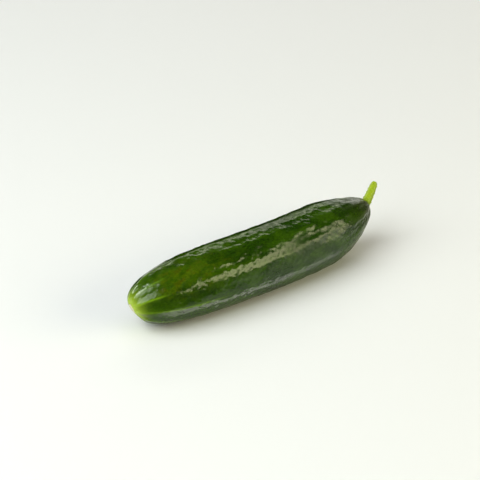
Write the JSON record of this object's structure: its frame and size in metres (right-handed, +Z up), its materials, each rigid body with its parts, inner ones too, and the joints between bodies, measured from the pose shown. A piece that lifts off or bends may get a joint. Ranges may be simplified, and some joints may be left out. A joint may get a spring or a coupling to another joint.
{
  "type": "mini cucumber",
  "caption": "Whole fresh mini cucumber lying on its side: slightly bowed, gently ribbed dark green fruit with a rounded blossom end and a short cut stem.",
  "frame": {"origin": "under the middle of the cucumber's bounding box, on the surface it lies on", "axes": "+X along the cucumber from the blossom end to the stem end, +Z up; the belly of the bow faces -Y"},
  "size_m": [0.1776, 0.0384, 0.0372],
  "materials": {
    "skin": "glossy dark green cucumber skin, waxy",
    "stem": "yellow-green fibrous stem, satin"
  },
  "bodies": {
    "root": {"fruit": "skin", "stem": "stem"}
  },
  "joints": []
}
